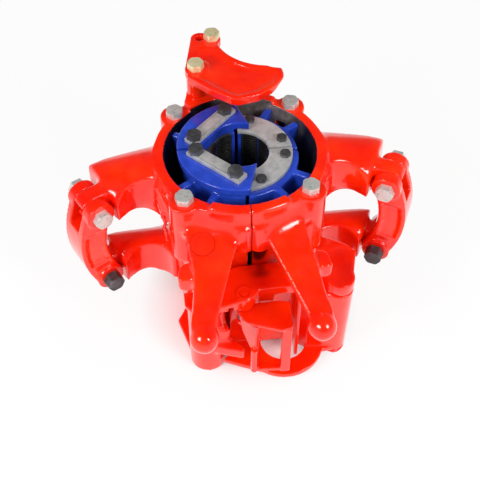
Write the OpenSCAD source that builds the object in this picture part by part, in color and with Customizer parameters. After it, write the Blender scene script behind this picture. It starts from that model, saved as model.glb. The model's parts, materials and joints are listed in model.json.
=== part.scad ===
// Slip elevator for drill pipe: a hinged two-piece bowl with four toothed slips, a latch and two link ears.
// The pipe's axis is Z, the base stands at Z = 0, the latch and handles face -Y and the hinge is at +Y.

/* [Bowl] */
// Height of the ring's rim above the base
body_h = 380; // [370:1:400]
// Radius of the bowl at its mouth
mouth_r = 136; // [133:0.5:140]
// Width of the ring round the mouth
ring_w = 18; // [16:0.5:22]
// Height of the ring's outer band
ring_band = 37; // [30:1:42]
// Step from the ring's band in to the barrel
band_step = 8; // [5:0.5:10]
// Height of the rim above the bolt faces
rim_lip = 8; // [5:0.5:12]
// Slope of the bowl's wall from the pipe's axis
bowl_taper = 9.46; // [9.2:0.02:9.8]
// Height of the straight throat under the bowl
throat_h = 55; // [45:1:60]
// Wall of the barrel at its foot
foot_wall = 40; // [34:1:44]
// Gap between the two closed halves
seam = 1; // [0.6:0.1:2]
// Width of the open slot in the front seam
slot_w = 8; // [4:0.5:12]

/* [Hinge] */
// Distance of the hinge pin behind the pipe's axis
hinge_y = 192; // [190:1:198]
// Radius of the hinge knuckles
knuckle_r = 34; // [30:0.5:35]
// Radius of the hinge pin
hinge_pin_r = 16; // [12:0.5:18]
// Height of the right half's knuckle
knuckle_h = 148; // [120:2:160]

/* [Guide bolts] */
// Distance of the guide bolts from the pipe's axis
guide_pitch_r = 151.5; // [150:0.5:154]
// Radius of the guide bolt bosses
boss_r = 27; // [25:0.5:30]
// Radius of the guide bolts
guide_bolt_r = 9.5; // [8:0.25:9.75]
// Wire radius of the lift springs
spring_wire_r = 2.2; // [1.6:0.1:2.6]

/* [Slips] */
// Radius of the pipe that the dies grip
pipe_r = 50.8; // [49:0.1:52]
// Thickness of a die
die_t = 15; // [12:0.5:17]
// Height of the dies' lower end above the base
die_z0 = 100; // [90:1:120]
// Number of dies in a column
die_count = 4; // [3:1:5]
// Gap between neighbouring slips
slip_gap = 5; // [3:0.5:7]
// Lift of the slips from set to open
slip_lift = 18; // [12:1:20]
// Radius of the slips' upper core
core_r = 104; // [100:0.5:108]
// Depth of the slips' top below the ring's rim
slip_drop = 17; // [14:0.5:20]
// Thickness of the fins on a slip's back
fin_t = 13; // [10:0.5:16]
// Height of the left slips' arms above their top face
arm_h = 25; // [22:0.5:27]
// Thickness of the bars on the arms
bar_t = 8; // [6:0.5:10]
// Width of the bars
bar_w = 24; // [20:0.5:28]
// Thickness of the right slips' retainer plates
plate_t = 8; // [6:0.5:8.5]

/* [Ears and links] */
// Distance of the link pins to the side of the pipe's axis
ear_x = 268; // [260:1:275]
// Distance of the link pins in front of the pipe's axis
ear_y = 42; // [38:1:46]
// Turn of the ears' ends towards the front
ear_turn = 28; // [24:0.5:32]
// Depth of the upper link bolts below the rim
link_top_drop = 66; // [62:1:70]
// Depth of the lower link pivots below the rim
link_low_drop = 235; // [228:1:242]
// Thickness of the ears' tongues
tongue_t = 31; // [27:0.5:34]
// Radius of the link bolts
link_bolt_r = 10; // [8:0.25:12]
// Width of a link block over its bosses
link_w = 76; // [70:1:82]

/* [Handles] */
// Slope of the handles
handle_slope = 22; // [18:0.5:26]
// Thickness of the handles
handle_t = 23; // [20:0.5:26]
// Radius of the handles' ball ends
ball_r = 24.5; // [22:0.5:27]
// Distance of the ball ends to the side
ball_x = 96; // [92:1:100]
// Length of the handles from the barrel to the ball
handle_l = 172; // [160:1:180]

/* [Latch] */
// Distance of the latch pin to the right
hub_x = 156; // [154:0.5:160]
// Distance of the latch pin in front
hub_y = 176; // [174:0.5:180]
// Radius of the latch pin
latch_pin_r = 13; // [10:0.5:15]
// Radius of the catch post
catch_r = 34; // [32:0.5:36]
// Height of the latch's upper face
latch_top = 227; // [222:0.5:228]
// Thickness of the latch's upper plate
latch_plate_t = 22; // [18:0.5:24]
// Radius of the hole in the latch's foot plate
foot_hole_r = 43; // [38:0.5:46]
// Room between the latch's nose and the catch
nose_room = 5; // [4.5:0.1:7]
// Bite of the latch's nose behind the catch
nose_bite = 8; // [6:0.1:8.4]

/* [Stop plate] */
// Height of the stop plate's upper face above the rim
stop_top = 63; // [62:0.5:68]
// Thickness of the stop plate
stop_t = 18; // [15:0.5:18.5]
// Depth of the stop plate's pocket
stop_pocket = 6; // [3:0.5:8]
// Radius of the stop plate's bolts
stop_bolt_r = 8; // [6:0.25:9]

/* [Fits] */
// Radial clearance of a pin that turns
pin_play = 0.06; // [0.02:0.01:0.1]
// Clearance between parts that slide past each other
side_play = 0.7; // [0.4:0.1:1.2]
// Clearance between the slips' backs and the bowl
bowl_play = 0.3; // [0.2:0.05:0.6]
// Radial clearance of a bolt in its hole
bolt_play = 0.3; // [0.1:0.05:0.5]

/* [Hidden] */
$fn = 72;

red = [0.86, 0.07, 0.05];
blue = [0.12, 0.2, 0.66];
steel = [0.66, 0.66, 0.65];
zinc = [0.72, 0.71, 0.68];
yellow_zinc = [0.74, 0.6, 0.32];
black = [0.09, 0.09, 0.1];

function bowl_r(z) = mouth_r - (body_h - z) * tan(bowl_taper);

ring_r = mouth_r + ring_w;
barrel_r = ring_r - band_step;
throat_r = bowl_r(throat_h);
foot_r = throat_r + foot_wall;
face_z = body_h - rim_lip;
rim_front_a = 27;
rim_rear_a = 33;
slot_top = body_h - 95;

// Guide bolts, springs and the lugs that ride on them
lug_w = 2 * (guide_bolt_r + 5);
lug_h = 20;
lug_z = body_h - 80;
lug_out = slip_lift * sin(bowl_taper);
lug_up = slip_lift * cos(bowl_taper);
boss_z0 = body_h - 140;
boss_bore_r = lug_w / 2 + lug_out + side_play;
boss_bore_top = lug_z + lug_h + lug_up + 6;
guide_head_af = 3 * guide_bolt_r;
guide_head_h = 1.3 * guide_bolt_r;
guide_nut_h = 1.4 * guide_bolt_r;
guide_nut_z = boss_z0 + 8;
spring_z0 = guide_nut_z + guide_nut_h;
spring_r = guide_bolt_r + 1 + spring_wire_r;

// Slips
slip_top = body_h - slip_drop;
slip_z0 = throat_h + 15;
die_r = pipe_r + die_t;
rib_r = pipe_r + 2;
die_side_a = 10.5;
die_mid_a = 1.5;
die_h = (slip_top - die_z0 - (die_count - 1) * side_play) / die_count;
fin_a = 14;
fin_z0 = body_h - 190;
fin_r = bowl_r(slip_top) - bowl_play;
arm_top = slip_top + arm_h;
arm_r = core_r + 7;
arm_end_x = 24;
bar_d = 68;
bar_out = 59;
bar_in = bar_d - bar_w / 2 - side_play;
bar_bolt_x = 43;
bar_bolt_r = 8;
plate_out_r = core_r - 11;
plate_bolt_shift = 0.6;
plate_bolt_d = (die_r + plate_out_r) / 2 + plate_bolt_shift;
plate_bolt_r = 5;
plate_bolt_a = [14.5, 70];

// Ears and links
link_top_z = body_h - link_top_drop;
link_low_z = body_h - link_low_drop;
link_mid_z = (link_top_z + link_low_z) / 2;
link_half = (link_top_z - link_low_z) / 2;
link_boss_r = 26;
tongue_r = link_boss_r + 1;
horn_end = link_boss_r + 4;
link_outer = 44;
link_inner = 6;
link_neck_w = link_w - 14;
strap_pocket = 3;
pivot_head_af = 3 * link_bolt_r;

// Handles
handle_y = 150;
handle_z = body_h - 48;
peg_l = 131;

// Latch and catch
catch_x = 83;
catch_y = hub_y - 1;
catch_top = latch_top - latch_plate_t - 5;
stub_r = catch_r - 10;
stub_y = catch_y + 3;
stub_top = latch_top + 5;
stub_flat = stub_r - 8;
rib_z = [58, 85, 122];
low_lug_h = 11;
foot_z = low_lug_h + 1.5;
foot_t = 12;
lug_top = latch_top - 12;
lug_t = 28;
lug_cap = 8;
hub_top = lug_top - lug_t - 1.5;
hub_r = latch_pin_r + 14.5;
foot_x = 61;
foot_y = -172;
lock_x = -18;
lock_y = -203;
lock_pin_r = 8;
lock_r = lock_pin_r + 5;
lock_boss_r = lock_pin_r + 9;
lock_boss_top = latch_top + 3;
lock_boss_z = latch_top - latch_plate_t - 9;
lock_hub_h = 14;
lock_spring_h = 16;
fan_t = 8;
fan_z = lock_boss_z - side_play - fan_t;
collar_z = fan_z - lock_hub_h - lock_spring_h - 0.6;
pull_z = fan_z - 129;
pull_post = [-6, -251];
grip_x = 50;
grip_y = -256;
nose_t = 11;
tooth_x = catch_r - catch_x + 1.5;
lip_x = tooth_x + 3;

// Stop plate
stop_z = body_h + stop_top - stop_t;
stop_pad_z = body_h + 5;
stop_a = [-62, 150];
stop_b = [-24, 235];
stop_hole = [-47, 238];
stop_arc = [82, 242];
stop_arc_r = 100;

// Plain shapes used by several parts

module hex(af, h) {
    cylinder(r = af / sqrt(3), h = h, $fn = 6);
}

module hex_bolt(r, l, af, h) {
    translate([0, 0, -l]) cylinder(r = r, h = l + 1);
    intersection() {
        hex(af, h);
        cylinder(r1 = af / sqrt(3) + 0.2, r2 = af / 2 - 0.3, h = h * 1.9);
        translate([0, 0, -h * 0.9]) cylinder(r1 = af / 2 - 0.3, r2 = af * 0.93, h = h * 1.9);
    }
}

module hex_nut(r, af, h) {
    difference() {
        hex(af, h);
        translate([0, 0, -1]) cylinder(r = r, h = h + 2);
    }
}

module at_corner(angle, r) {
    rotate([0, 0, angle]) translate([r, 0, 0]) children();
}

module slab(z0, z1) {
    translate([0, 0, z0]) linear_extrude(z1 - z0) children();
}

module dot(p, r) {
    translate(p) circle(r = r);
}

// A coil spring swept along its helix
module coil(r, wire, h, turns) {
    sides = 8;
    steps = 14;
    rings = turns * steps;
    rise = h - 2 * wire;
    points = [for (i = [0 : rings], k = [0 : sides - 1])
        let (a = 360 * i / steps, b = 360 * k / sides, q = r + wire * cos(b))
        [q * cos(a), q * sin(a), wire + rise * i / rings + wire * sin(b)]];
    tube = [for (i = [0 : rings - 1], k = [0 : sides - 1])
        let (m = (k + 1) % sides)
        [i * sides + k, (i + 1) * sides + k, (i + 1) * sides + m, i * sides + m]];
    start = [[for (k = [0 : sides - 1]) k]];
    finish = [[for (k = [0 : sides - 1]) rings * sides + sides - 1 - k]];
    polyhedron(points = points, faces = concat(tube, start, finish));
}

// Bowl halves

module bowl_outside() {
    rotate_extrude() polygon([[0, 0], [foot_r, 0], [foot_r + 3, 20],
        [barrel_r, body_h - ring_band - 2 * band_step], [ring_r, body_h - ring_band],
        [ring_r, face_z], [0, face_z]]);
}

module bowl_inside() {
    rotate_extrude() polygon([[0, -1], [throat_r, -1], [throat_r, throat_h], [mouth_r, body_h],
        [mouth_r, body_h + 40], [0, body_h + 40]]);
}

module rim_part(start, sweep) {
    rotate([0, 0, start]) rotate_extrude(angle = sweep) polygon([[bowl_r(face_z) - 4, face_z - 2],
        [ring_r, face_z - 2], [ring_r, body_h - 4], [ring_r - 4, body_h], [mouth_r - 4, body_h]]);
}

module guide_bosses() {
    for (a = [135, 225]) at_corner(a, guide_pitch_r) translate([0, 0, boss_z0])
        cylinder(r = boss_r, h = face_z - boss_z0);
}

module guide_holes() {
    for (a = [135, 225]) {
        at_corner(a, guide_pitch_r) {
            translate([0, 0, boss_z0 - 1]) cylinder(r = boss_bore_r, h = boss_bore_top - boss_z0 + 1);
            translate([0, 0, boss_z0]) cylinder(r = guide_bolt_r + bolt_play, h = body_h);
            translate([0, 0, face_z]) cylinder(r = boss_r + 1, h = body_h);
        }
        at_corner(a, 0) translate([throat_r, -lug_w / 2 - side_play, lug_z - 4])
            cube([guide_pitch_r - throat_r, lug_w + 2 * side_play, lug_h + lug_up + 8]);
    }
}

// Link ears: an upper and a lower horn with a tongue at each end

function ear_point(x, y) = [-ear_x - x * cos(ear_turn) + y * sin(ear_turn),
    -ear_y - x * sin(ear_turn) - y * cos(ear_turn)];

module ear_frame(z) {
    translate([-ear_x, -ear_y, z]) rotate([0, 0, 180 + ear_turn]) children();
}

module across(w) {
    rotate([90, 0, 0]) linear_extrude(w, center = true) children();
}

module tongue_outline() {
    circle(r = tongue_r);
    translate([-horn_end - 14, -tongue_r]) square([horn_end + 14, 2 * tongue_r]);
}

module horn_outline(rear_root, rear_tip) {
    difference() {
        polygon([[-110, rear_root], ear_point(-horn_end, -rear_tip), ear_point(-horn_end, 50), [-110, -56]]);
        dot([-ear_x + 92, -ear_y - 41], 48);
    }
}

module upper_horn() {
    difference() {
        union() {
            intersection() {
                slab(body_h - 118, body_h - 4) horn_outline(62, 68);
                translate([-60, 0, body_h - 74]) rotate([0, -100.5, 0]) cylinder(r = 80, h = 320);
            }
            ear_frame(link_top_z) across(tongue_t) tongue_outline();
        }
        translate([-ear_x + 70, 0, body_h - 168]) rotate([90, 0, 0]) cylinder(r = 72, h = 500, center = true);
        ear_frame(link_top_z) across(tongue_t + 2) {
            circle(r = link_bolt_r + bolt_play);
            polygon([[0, link_bolt_r + bolt_play], [60, link_bolt_r + bolt_play],
                [60, -link_bolt_r - 14], [0, -link_bolt_r - bolt_play]]);
        }
    }
}

module lower_horn() {
    difference() {
        union() {
            intersection() {
                slab(body_h - 278, body_h - 180) horn_outline(30, 40);
                translate([-60, -20, body_h - 243]) rotate([0, -91, 0]) cylinder(r = 50, h = 320);
            }
            slab(body_h - 278, body_h - 214) horn_outline(30, 40);
            ear_frame(link_low_z) across(tongue_t) tongue_outline();
        }
        ear_frame(link_low_z) across(link_w) circle(r = link_bolt_r + pin_play);
        translate([-ear_x + 70, 0, body_h - 360]) rotate([90, 0, 0]) cylinder(r = 90, h = 500, center = true);
    }
}

// Handles: a flat arm that slopes down to a ball end, with a peg at its side

module handle_outline(top_out) {
    polygon([[8, 24], [20, -4], [ball_x - 21, -handle_l + 20], [ball_x - 18, -handle_l],
        [ball_x + 18, -handle_l], [ball_x + 21, -handle_l + 20], [ball_x + 6, -70], [top_out, 0], [top_out, 24]]);
}

module handle_frame() {
    translate([0, -handle_y, handle_z]) rotate([handle_slope, 0, 0]) children();
}

module handle(top_out) {
    handle_frame() {
        slab(-handle_t, 0) handle_outline(top_out);
        translate([ball_x, -handle_l, -handle_t / 2]) sphere(r = ball_r);
    }
    slab(handle_z - 64, handle_z - 34) hull() {
        translate([ball_x, -handle_y - 66]) square([4, 40]);
        dot([peg_l - 5, -handle_y - 61], 5);
        dot([peg_l - 19, -handle_y - 45], 15);
    }
}

module seam_pad() {
    translate([14, 2 - barrel_r, slot_top]) cylinder(r = 20, h = body_h - ring_band - slot_top + 2);
}

// Knuckles of the hinge at the rear

module knuckle(z0, z1) {
    slab(z0, z1) {
        dot([0, hinge_y], knuckle_r);
        polygon([[-60, 100], [-knuckle_r, hinge_y], [-2, hinge_y], [-2, 100]]);
    }
}

knuckle_mid = 186;
knuckle_z = [knuckle_mid - knuckle_h / 2, knuckle_mid + knuckle_h / 2];
knuckle_end_h = 66;

module hinge_bore() {
    translate([0, hinge_y, -1]) cylinder(r = hinge_pin_r + pin_play, h = body_h);
}

module half_common() {
    bowl_outside();
    rim_part(90, rim_rear_a);
    rim_part(270 - rim_front_a, rim_front_a);
    guide_bosses();
    upper_horn();
    lower_horn();
    mirror([1, 0, 0]) seam_pad();
}

module half_cuts() {
    bowl_inside();
    guide_holes();
    hinge_bore();
    translate([-slot_w / 2, -body_h, 20]) cube([body_h, body_h, slot_top - 20]);
    translate([-seam / 2, -body_h, -1]) cube([body_h, body_h + ring_r + 2, body_h + 40]);
}

// Catch of the left half: a barrel with a stub that has a flat for the latch's nose

module catch_post() {
    slab(0, catch_top) {
        dot([-catch_x, -catch_y], catch_r);
        polygon([[-catch_x - 18, -catch_y], [-catch_x - 12, -90], [-catch_x + 40, -100], [-catch_x + 20, -catch_y]]);
    }
    slab(catch_top - 2, stub_top) difference() {
        dot([-catch_x, -stub_y], stub_r);
        translate([-catch_x - stub_flat - 60, -stub_y - 64]) square([60, 60]);
    }
    slab(0, 15) polygon([[-catch_x - catch_r + 3, -catch_y + 3], [-135, -95], [-100, -40], [-40, -90],
        [-catch_x + catch_r - 4, -catch_y + 4]]);
    slab(rib_z[0], rib_z[1]) polygon([[-catch_x, -catch_y], [-catch_x + 14, -catch_y - 37],
        [-catch_x + 55, -catch_y - 51], [-catch_x + 63, -catch_y - 53], [-catch_x + 64, -catch_y - 45],
        [-catch_x + 30, -catch_y]]);
    slab(rib_z[1] - 5, rib_z[2]) polygon([[-catch_x, -catch_y], [-catch_x + 18, -catch_y - 29],
        [-catch_x + 41, -catch_y - 30], [-catch_x + 31, -catch_y]]);
    slab(fan_z - 9, catch_top - 1) polygon([[lip_x, -catch_y - 23], [lip_x, -catch_y - 31],
        [-catch_x + 11, -catch_y - 31], [-catch_x + 11, -catch_y - 10], [-catch_x + 25, -catch_y - 23]]);
}

module stop_pad() {
    slab(body_h - 40, stop_pad_z) {
        dot(stop_a, 20);
        dot(stop_hole, 17);
        dot(stop_b, 15);
        polygon([[-96, 98], stop_a + [-20, 0], stop_hole + [-17, 0], stop_b + [0, 15], stop_b + [12, -7],
            [-34, 196], [-42, 150], [-62, 122]]);
    }
}

module stop_holes() {
    for (p = [stop_a, stop_b]) translate([p[0], p[1], body_h - 60])
        cylinder(r = stop_bolt_r + bolt_play, h = 200);
    translate([stop_hole[0], stop_hole[1], body_h - 60]) cylinder(r = stop_bolt_r, h = 200);
}

plug_r = 21;
plug_t = 4;
plug_p = [-84, -17];

module body_left() color(red) {
    difference() {
        union() {
            half_common();
            mirror([1, 0, 0]) handle(110);
            knuckle(knuckle_z[0] - 2 - knuckle_end_h, knuckle_z[0] - 2);
            knuckle(knuckle_z[1] + 2, knuckle_z[1] + 2 + knuckle_end_h);
            catch_post();
            stop_pad();
        }
        difference() {
            half_cuts();
            translate([-1, hinge_y, -1]) cylinder(r = knuckle_r + 1, h = body_h);
        }
        bowl_inside();
        hinge_bore();
        stop_holes();
        handle_frame() translate([plug_p[0], plug_p[1], -plug_t + 1]) cylinder(r = plug_r + 0.2, h = 20);
    }
}

module handle_plug() color(red) {
    handle_frame() translate([plug_p[0], plug_p[1], -plug_t + 1]) cylinder(r = plug_r, h = plug_t);
}

// Lugs of the right half that carry the latch pin

module upper_lug() {
    slab(lug_top - lug_t, lug_top) {
        dot([hub_x, -hub_y], hub_r);
        polygon([[hub_x - hub_r, -hub_y - 4], [93, -100], [72, -78], [110, -60], [142, -88], [198, -119],
            [hub_x + hub_r, -hub_y + 8]]);
    }
    slab(lug_top - lug_t, lug_top + 6) polygon([[100, -118], [72, -78], [110, -60], [142, -88], [190, -116]]);
}

module lower_lug() {
    slab(0, low_lug_h) {
        dot([hub_x, -hub_y], hub_r - 3);
        polygon([[hub_x - 18, -hub_y - 12], [84, -70], [112, -50], [hub_x + 20, -hub_y + 12]]);
    }
}

module body_right() color(red) {
    difference() {
        union() {
            mirror([1, 0, 0]) half_common();
            handle(93);
            mirror([1, 0, 0]) knuckle(knuckle_z[0], knuckle_z[1]);
            upper_lug();
            lower_lug();
        }
        difference() {
            mirror([1, 0, 0]) half_cuts();
            translate([1, hinge_y, -1]) cylinder(r = knuckle_r + 1, h = body_h);
        }
        bowl_inside();
        hinge_bore();
        translate([hub_x, -hub_y, -1]) cylinder(r = latch_pin_r + pin_play, h = lug_top - lug_cap + 1);
    }
}

module hinge_pin() color(zinc) {
    top = knuckle_z[1] + 2 + knuckle_end_h;
    low = knuckle_z[0] - 2 - knuckle_end_h;
    translate([0, hinge_y, low - 26]) cylinder(r = hinge_pin_r, h = top - low + 27);
    translate([0, hinge_y, top]) cylinder(r1 = hinge_pin_r + 6, r2 = hinge_pin_r + 3, h = 10);
}

module hinge_nut() color(zinc) {
    low = knuckle_z[0] - 2 - knuckle_end_h;
    translate([0, hinge_y, low - 18]) hex_nut(hinge_pin_r, hinge_pin_r * 2.9, 18);
}

// Guide bolts, nuts and lift springs

module guide_bolt() {
    translate([0, 0, face_z]) hex_bolt(guide_bolt_r, face_z - guide_nut_z + 4, guide_head_af, guide_head_h);
}

module guide_nut() {
    translate([0, 0, guide_nut_z]) hex_nut(guide_bolt_r, guide_head_af, guide_nut_h);
}

module guide_bolts_left() color(zinc) {
    for (a = [135, 225]) at_corner(a, guide_pitch_r) guide_bolt();
}

module guide_bolts_right() color(zinc) {
    for (a = [45, 315]) at_corner(a, guide_pitch_r) guide_bolt();
}

module guide_nuts_left() color(zinc) {
    for (a = [135, 225]) at_corner(a, guide_pitch_r) guide_nut();
}

module guide_nuts_right() color(zinc) {
    for (a = [45, 315]) at_corner(a, guide_pitch_r) guide_nut();
}

module lift_spring(angle) color(steel) {
    at_corner(angle, guide_pitch_r) translate([0, 0, spring_z0 + 0.2])
        coil(spring_r, spring_wire_r, lug_z - spring_z0 - 0.4, 5);
}

module lift_spring_fl() { lift_spring(225); }
module lift_spring_rl() { lift_spring(135); }
module lift_spring_fr() { lift_spring(315); }
module lift_spring_rr() { lift_spring(45); }

// Slips: a quarter wedge drawn for the rear right and turned into place

module slip_corner() {
    translate([slip_gap / 2, slip_gap / 2, 0]) cube([mouth_r * 2, mouth_r * 2, body_h * 2]);
}

module slip_cone() {
    rotate_extrude() polygon([[0, slip_z0], [bowl_r(slip_z0) - bowl_play, slip_z0],
        [fin_r, slip_top], [0, slip_top]]);
}

module slip_core() {
    meet = body_h - (mouth_r - bowl_play - core_r) / tan(bowl_taper);
    rotate_extrude() polygon([[rib_r, slip_z0], [bowl_r(slip_z0) - bowl_play, slip_z0],
        [core_r, meet], [core_r, slip_top], [rib_r, slip_top]]);
}

module die_sector(a, r, h) {
    rotate([0, 0, a]) rotate_extrude(angle = 45 - die_side_a - die_mid_a) polygon([[pipe_r - 8, 0], [r, 0],
        [r, h], [pipe_r - 8, h]]);
}

module slip_blank() {
    difference() {
        union() {
            intersection() {
                union() {
                    slip_core();
                    intersection() {
                        slip_cone();
                        for (s = [-1, 1]) rotate([0, 0, 45 + s * fin_a])
                            translate([core_r - 20, -fin_t / 2, fin_z0]) cube([60, fin_t, body_h]);
                    }
                }
                slip_corner();
            }
            rotate([0, 0, 45]) slab(lug_z, lug_z + lug_h) {
                translate([core_r - 20, -lug_w / 2]) square([guide_pitch_r - core_r + 20, lug_w]);
                dot([guide_pitch_r, 0], lug_w / 2);
            }
        }
        for (a = [die_side_a, 45 + die_mid_a]) translate([0, 0, die_z0 - 0.2])
            die_sector(a, die_r + 0.2, body_h);
        rotate([0, 0, 45]) slab(lug_z - 1, lug_z + lug_h + 1) {
            dot([guide_pitch_r, 0], guide_bolt_r + 0.5);
            dot([guide_pitch_r - lug_out, 0], guide_bolt_r + 0.5);
            translate([guide_pitch_r - lug_out, -guide_bolt_r - 0.5]) square([lug_out, 2 * guide_bolt_r + 1]);
        }
    }
}

// Raised arm of a left slip, drawn for the rear right with its overhang on the -Y side
module arm_area() {
    difference() {
        polygon([[slip_gap / 2, slip_gap / 2 - arm_end_x], [rib_r - 6, -arm_end_x], [arm_r + 8, 0],
            [arm_r + 8, arm_r + 8], [slip_gap / 2, arm_r + 8]]);
        rotate([0, 0, 45]) translate([-mouth_r, 0]) square([mouth_r + bar_d - bar_w / 2 - 3, mouth_r]);
    }
}

module arm_ring(inner, outer, z0, z1) {
    translate([0, 0, z0]) difference() {
        cylinder(r = outer, h = z1 - z0);
        translate([0, 0, -1]) cylinder(r = inner, h = z1 - z0 + 2);
    }
}

module slip_arm() {
    intersection() {
        arm_ring(rib_r + 1, arm_r, slip_top + plate_t + side_play, arm_top);
        slab(slip_top, arm_top + 1) arm_area();
    }
    intersection() {
        union() {
            arm_ring(die_r + 2, core_r - 2, slip_top - 3, arm_top - 3);
            arm_ring(rib_r + 2, core_r - 3, slip_top + bowl_play, arm_top - 2);
        }
        slab(slip_top - 5, arm_top) arm_area();
        translate([slip_gap / 2 + 1, slip_gap / 2 + 1, 0]) cube([mouth_r * 2, mouth_r * 2, body_h * 2]);
    }
}

module bar_holes() {
    rotate([0, 0, 45]) for (s = [-1, 1]) translate([bar_d, s * bar_bolt_x, slip_top - 40])
        cylinder(r = bar_bolt_r + bolt_play, h = 120);
}

module left_slip() {
    difference() {
        union() {
            slip_blank();
            slip_arm();
        }
        bar_holes();
    }
}

module plate_holes() {
    for (a = plate_bolt_a) at_corner(a, plate_bolt_d) translate([0, 0, slip_top - 30])
        cylinder(r = plate_bolt_r + bolt_play, h = 60);
}

module right_slip() {
    difference() {
        slip_blank();
        plate_holes();
    }
}

module slip_rl() color(blue) { rotate([0, 0, 90]) left_slip(); }
module slip_fl() color(blue) { mirror([0, 1, 0]) rotate([0, 0, 90]) left_slip(); }
module slip_rr() color(blue) { right_slip(); }
module slip_fr() color(blue) { mirror([0, 1, 0]) right_slip(); }

module dies() color(black) {
    difference() {
        for (a = [die_side_a, 45 + die_mid_a], i = [0 : die_count - 1])
            translate([0, 0, die_z0 + i * (die_h + side_play)]) rotate([0, 0, 0.15])
                rotate([0, 0, a]) rotate_extrude(angle = 45 - die_side_a - die_mid_a - 0.3)
                    polygon([[pipe_r, 0], [die_r, 0], [die_r, die_h], [pipe_r, die_h]]);
        translate([0, 0, slip_top]) cylinder(r = mouth_r, h = 50);
    }
}

module dies_rl() { rotate([0, 0, 90]) dies(); }
module dies_fl() { mirror([0, 1, 0]) rotate([0, 0, 90]) dies(); }
module dies_rr() { dies(); }
module dies_fr() { mirror([0, 1, 0]) dies(); }

module bar() color(steel) {
    difference() {
        rotate([0, 0, 45]) translate([bar_d - bar_w / 2, -bar_out, arm_top]) cube([bar_w, bar_out + bar_in, bar_t]);
        bar_holes();
    }
}

module bar_bolts() color(black) {
    rotate([0, 0, 45]) for (s = [-1, 1]) translate([bar_d, s * bar_bolt_x, arm_top + bar_t])
        hex_bolt(bar_bolt_r, bar_t + arm_h + 30, 3 * bar_bolt_r, 1.2 * bar_bolt_r);
}

module bar_rl() { rotate([0, 0, 90]) bar(); }
module bar_fl() { mirror([0, 1, 0]) rotate([0, 0, 90]) bar(); }
module bar_bolts_rl() { rotate([0, 0, 90]) bar_bolts(); }
module bar_bolts_fl() { mirror([0, 1, 0]) rotate([0, 0, 90]) bar_bolts(); }

module retainer() color(steel) {
    difference() {
        intersection() {
            slab(slip_top, slip_top + plate_t) difference() {
                circle(r = plate_out_r);
                circle(r = pipe_r + 0.8);
            }
            slip_corner();
        }
        plate_holes();
    }
}

module retainer_bolts() color(black) {
    for (a = plate_bolt_a) at_corner(a, plate_bolt_d) translate([0, 0, slip_top + plate_t])
        hex_bolt(plate_bolt_r, plate_t + 22, 3.4 * plate_bolt_r, 1.3 * plate_bolt_r);
}

module retainer_rr() { retainer(); }
module retainer_fr() { mirror([0, 1, 0]) retainer(); }
module retainer_bolts_rr() { retainer_bolts(); }
module retainer_bolts_fr() { mirror([0, 1, 0]) retainer_bolts(); }

// Stop plate over the rear of the bowl

module stop_outline(inset) {
    difference() {
        polygon([[-8 + inset * 0.3, 60 + inset], [6, 56 + inset], [42 - inset * 0.3, 63 + inset],
            [78 - inset * 0.6, 87 + inset * 0.7], [99 - inset, 116 + inset * 0.2], [98 - inset, 150],
            [-6, 236], [-30, 236], [-70, 160], [-80 + inset * 1.6, 131], [-42 + inset * 0.6, 89 + inset * 0.9]]);
        dot(stop_arc, stop_arc_r + inset);
    }
}

module stop_plate() color(red) {
    difference() {
        union() {
            slab(stop_z, stop_z + stop_t) {
                stop_outline(0);
                dot(stop_a, 20);
                dot(stop_b, 17);
                dot(stop_hole, 17);
                polygon([stop_a + [-20, 0], stop_hole + [-17, 0], stop_hole + [0, 17], stop_b + [0, 17],
                    stop_b + [17, 0], stop_a + [20, 0]]);
            }
            slab(stop_pad_z, stop_z + 1) {
                dot(stop_a, 18);
                dot(stop_b, 14);
                dot(stop_hole, 15);
                polygon([stop_hole + [0, 12], stop_b + [0, 12], stop_b + [0, -12], stop_hole + [0, -12]]);
            }
        }
        slab(stop_z + stop_t - stop_pocket, stop_z + stop_t + 1) intersection() {
            difference() {
                stop_outline(11);
                dot(stop_a, 25);
            }
            translate([-mouth_r, 0]) square([mouth_r * 2, 203]);
        }
        stop_holes();
    }
}

module stop_plate_bolts() color(yellow_zinc) {
    for (p = [stop_a, stop_b]) translate([p[0], p[1], stop_z + stop_t])
        hex_bolt(stop_bolt_r, stop_z + stop_t - body_h + 25, 3.4 * stop_bolt_r, 1.6 * stop_bolt_r);
}

// Latch: a hub on the right half, a foot plate with a round hole, a wall and an upper plate with the hook

module latch_wall_outline() {
    polygon([[hub_x, -hub_y - hub_r + 4], [hub_x + 4, -hub_y + hub_r - 4], [70, -146], [-40, -146], [-40, -165],
        [66, -165], [104, -192]]);
}

module latch_upper_outline() {
    nose_x = -catch_x - stub_flat - nose_room;
    inner = -stub_y - stub_r - 4;
    tip = -stub_y - sqrt(stub_r * stub_r - stub_flat * stub_flat) + nose_bite;
    difference() {
        union() {
            polygon([[96, -141], [-22, -141], [-catch_x + stub_r + 3, -152], [-catch_x + stub_r + 3, inner],
                [nose_x, inner], [nose_x, tip], [nose_x - 18, tip], [nose_x - 18, inner - 8], [nose_x - 8, inner - 20],
                [-56, inner - 20], [lock_x - 9, lock_y - 17], [lock_x + 16, lock_y - 10], [8, -197], [80, -197],
                [96, -188]]);
            dot([lock_x, lock_y], lock_boss_r - 1);
        }
        dot([0, 0], barrel_r - 5);
    }
}

module latch_foot_outline() {
    difference() {
        union() {
            dot([foot_x, foot_y], foot_hole_r + 34);
            dot([hub_x, -hub_y], hub_r - 3);
            polygon([[hub_x, -hub_y - hub_r + 4], [hub_x, -hub_y + 20], [foot_x, -130], [foot_x, -215]]);
            polygon([[50, -247], [0, -228], [-64, -199], [-44, -150], [0, -132], [40, -110]]);
        }
        dot([foot_x, foot_y], foot_hole_r);
        dot([0, 0], foot_r + 6);
        dot([-catch_x, -catch_y], catch_r + 4);
    }
}

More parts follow.
